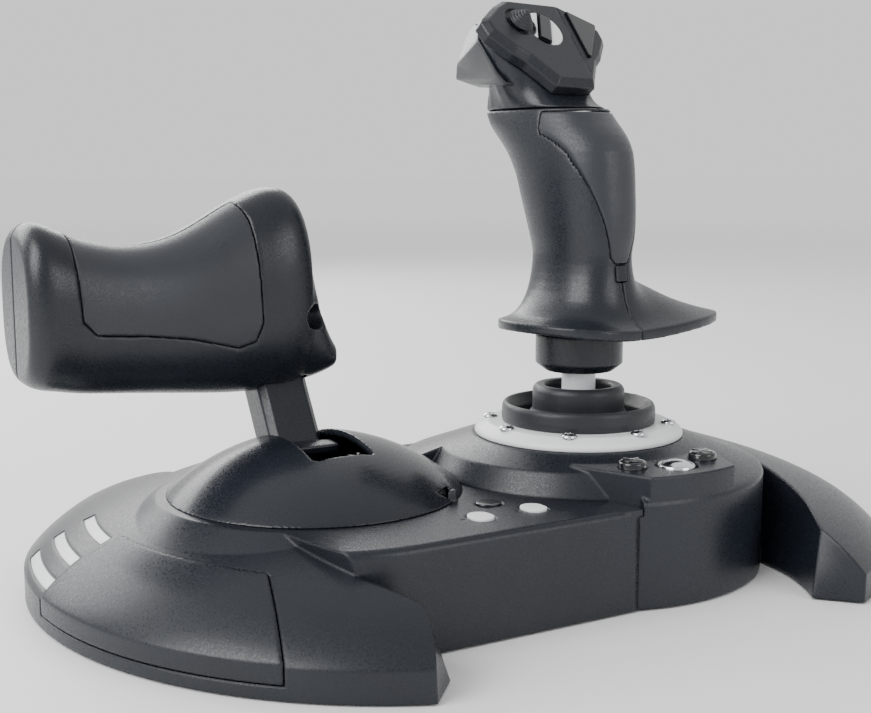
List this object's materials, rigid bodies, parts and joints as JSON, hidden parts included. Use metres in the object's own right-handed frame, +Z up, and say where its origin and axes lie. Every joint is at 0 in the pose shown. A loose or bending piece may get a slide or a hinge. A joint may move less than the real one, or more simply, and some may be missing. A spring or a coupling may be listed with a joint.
{
  "type": "flight joystick with throttle",
  "caption": "Desktop flight joystick: a tilting, twisting stick with trigger, hat and hand rest beside a swinging throttle lever on a winged two-part base.",
  "frame": {"origin": "centre of the object's footprint on the table", "axes": "+X to the user's right, +Y away from the user, +Z up"},
  "size_m": [0.3354, 0.1998, 0.2133],
  "materials": {
    "base_plastic": "fine textured satin",
    "dome_plastic": "satin gloss",
    "grip_plastic": "satin",
    "soft_pad": "soft touch",
    "head_plastic": "satin",
    "trigger_plastic": "satin gloss",
    "black_rubber": "matte",
    "white_plastic": "satin",
    "tray_plastic": "moulded",
    "black_gloss": "polished",
    "bright_metal": "polished",
    "shaft_plastic": "satin",
    "steel": "turned",
    "lens": "clear",
    "board": "lacquered"
  },
  "bodies": {
    "base": {"boot_ring": "black_rubber", "brake_pad": "black_rubber", "centring_spring": "steel", "dome_cover": "dome_plastic", "feet": "black_rubber", "gimbal_cradle": "base_plastic", "panel_lamps": "lens", "ring_screws": "bright_metal", "roll_sensor": "base_plastic", "spring_plate": "steel", "status_lens": "lens", "stick_ballast": "steel", "stick_base_shell": "base_plastic", "stick_tray": "tray_plastic", "throttle_base_shell": "base_plastic", "throttle_board": "board", "throttle_tray": "tray_plastic", "throttle_yoke": "base_plastic", "tray_screws": "bright_metal", "trim_ring": "white_plastic", "wing_cover": "base_plastic", "wing_insert_inner": "white_plastic", "wing_insert_middle": "white_plastic", "wing_insert_outer": "white_plastic"},
    "gimbal": {"gimbal_ring": "steel"},
    "stick": {"stick_shaft": "shaft_plastic", "boot_neck": "black_rubber", "retaining_clip": "bright_metal"},
    "grip": {"grip_collar": "grip_plastic", "grip_left_shell": "grip_plastic", "grip_right_shell": "grip_plastic", "palm_pad": "soft_pad", "grip_tab": "grip_plastic", "head_shell": "grip_plastic", "head_plate": "head_plastic", "head_accents": "white_plastic", "trigger_pin": "steel"},
    "trigger": {"trigger": "trigger_plastic"},
    "hat_frame": {"hat_carrier": "head_plastic"},
    "hat": {"hat_cap": "black_rubber"},
    "thumb_bar": {"thumb_bar_button": "black_gloss"},
    "thumb_side": {"thumb_side_button": "black_gloss"},
    "button_left": {"button_left": "black_gloss"},
    "button_right": {"button_right": "black_gloss"},
    "guide": {"guide_button": "bright_metal"},
    "mode": {"mode_button": "black_gloss"},
    "key_left": {"key_left": "white_plastic"},
    "key_right": {"key_right": "white_plastic"},
    "knob": {"tension_knob": "tray_plastic"},
    "lever": {"throttle_arm": "grip_plastic", "throttle_axle": "steel", "throttle_grip_front": "grip_plastic", "throttle_grip_back": "grip_plastic", "throttle_inlay": "soft_pad", "rocker_pin": "steel"},
    "thumb_a": {"thumb_button_a": "black_gloss"},
    "thumb_b": {"thumb_button_b": "black_gloss"},
    "thumb_c": {"thumb_button_c": "black_gloss"},
    "thumb_d": {"thumb_button_d": "black_gloss"},
    "rocker": {"rudder_rocker": "grip_plastic"}
  },
  "joints": [
    {"name": "stick_roll", "type": "hinge", "parent": "base", "child": "gimbal", "pos_m": [0.0355, 0, 0.042], "axis": [0, 1, 0], "range_deg": [-15, 15], "stiffness_Nm_per_rad": 1.6},
    {"name": "stick_pitch", "type": "hinge", "parent": "gimbal", "child": "stick", "pos_m": [0.0355, 0, 0.042], "axis": [1, 0, 0], "range_deg": [-15, 15], "stiffness_Nm_per_rad": 1.6},
    {"name": "stick_twist", "type": "hinge", "parent": "stick", "child": "grip", "pos_m": [0.0355, 0, 0.09], "axis": [0, 0, 1], "range_deg": [-20, 20], "stiffness_Nm_per_rad": 0.4},
    {"name": "trigger_pull", "type": "hinge", "parent": "grip", "child": "trigger", "pos_m": [0.03027, 0.03299, 0.2024], "axis": [-0.9877, -0.1564, 0], "range_deg": [0, 10], "stiffness_Nm_per_rad": 0.12, "springref_deg": -20.05},
    {"name": "hat_left_right", "type": "hinge", "parent": "grip", "child": "hat_frame", "pos_m": [0.01919, 0.02241, 0.20202], "axis": [-0.1006, 0.6349, 0.766], "range_deg": [-8, 8], "stiffness_Nm_per_rad": 0.03},
    {"name": "hat_up_down", "type": "hinge", "parent": "hat_frame", "child": "hat", "pos_m": [0.01919, 0.02241, 0.20202], "axis": [0.9877, 0.1564, 0], "range_deg": [-8, 8], "stiffness_Nm_per_rad": 0.03},
    {"name": "thumb_bar_press", "type": "slide", "parent": "grip", "child": "thumb_bar", "axis": [-0.1198, 0.7566, -0.6428], "range_m": [0, 0.001], "stiffness_N_per_m": 400, "springref_m": -0.002},
    {"name": "thumb_side_press", "type": "slide", "parent": "grip", "child": "thumb_side", "axis": [-0.1198, 0.7566, -0.6428], "range_m": [0, 0.001], "stiffness_N_per_m": 400, "springref_m": -0.002},
    {"name": "button_left_press", "type": "slide", "parent": "base", "child": "button_left", "axis": [0, 0, -1], "range_m": [0, 0.0015], "stiffness_N_per_m": 400, "springref_m": -0.002},
    {"name": "button_right_press", "type": "slide", "parent": "base", "child": "button_right", "axis": [0, 0, -1], "range_m": [0, 0.0015], "stiffness_N_per_m": 400, "springref_m": -0.002},
    {"name": "guide_press", "type": "slide", "parent": "base", "child": "guide", "axis": [0, 0, -1], "range_m": [0, 0.001], "stiffness_N_per_m": 400, "springref_m": -0.002},
    {"name": "mode_press", "type": "slide", "parent": "base", "child": "mode", "axis": [0, 0, -1], "range_m": [0, 0.001], "stiffness_N_per_m": 400, "springref_m": -0.002},
    {"name": "key_left_press", "type": "slide", "parent": "base", "child": "key_left", "axis": [0, 0, -1], "range_m": [0, 0.001], "stiffness_N_per_m": 400, "springref_m": -0.002},
    {"name": "key_right_press", "type": "slide", "parent": "base", "child": "key_right", "axis": [0, 0, -1], "range_m": [0, 0.001], "stiffness_N_per_m": 400, "springref_m": -0.002},
    {"name": "tension_turn", "type": "hinge", "parent": "base", "child": "knob", "pos_m": [0.0355, 0, 0.002], "axis": [0, 0, 1], "range_deg": [-135, 135]},
    {"name": "throttle_swing", "type": "hinge", "parent": "base", "child": "lever", "pos_m": [-0.0705, 0.018, 0.022], "axis": [1, 0, 0], "range_deg": [0, 64]},
    {"name": "thumb_a_press", "type": "slide", "parent": "lever", "child": "thumb_a", "axis": [-1, 0, 0], "range_m": [0, 0.0012], "stiffness_N_per_m": 400, "springref_m": -0.002},
    {"name": "thumb_b_press", "type": "slide", "parent": "lever", "child": "thumb_b", "axis": [-1, 0, 0], "range_m": [0, 0.0012], "stiffness_N_per_m": 400, "springref_m": -0.002},
    {"name": "thumb_c_press", "type": "slide", "parent": "lever", "child": "thumb_c", "axis": [-1, 0, 0], "range_m": [0, 0.0012], "stiffness_N_per_m": 400, "springref_m": -0.002},
    {"name": "thumb_d_press", "type": "slide", "parent": "lever", "child": "thumb_d", "axis": [-0.799, 0.5993, -0.0499], "range_m": [0, 0.001], "stiffness_N_per_m": 400, "springref_m": -0.002},
    {"name": "rudder_rock", "type": "hinge", "parent": "lever", "child": "rocker", "pos_m": [-0.112, 0.0675, 0.099], "axis": [0, 0, 1], "range_deg": [-6, 6], "stiffness_Nm_per_rad": 0.05}
  ]
}
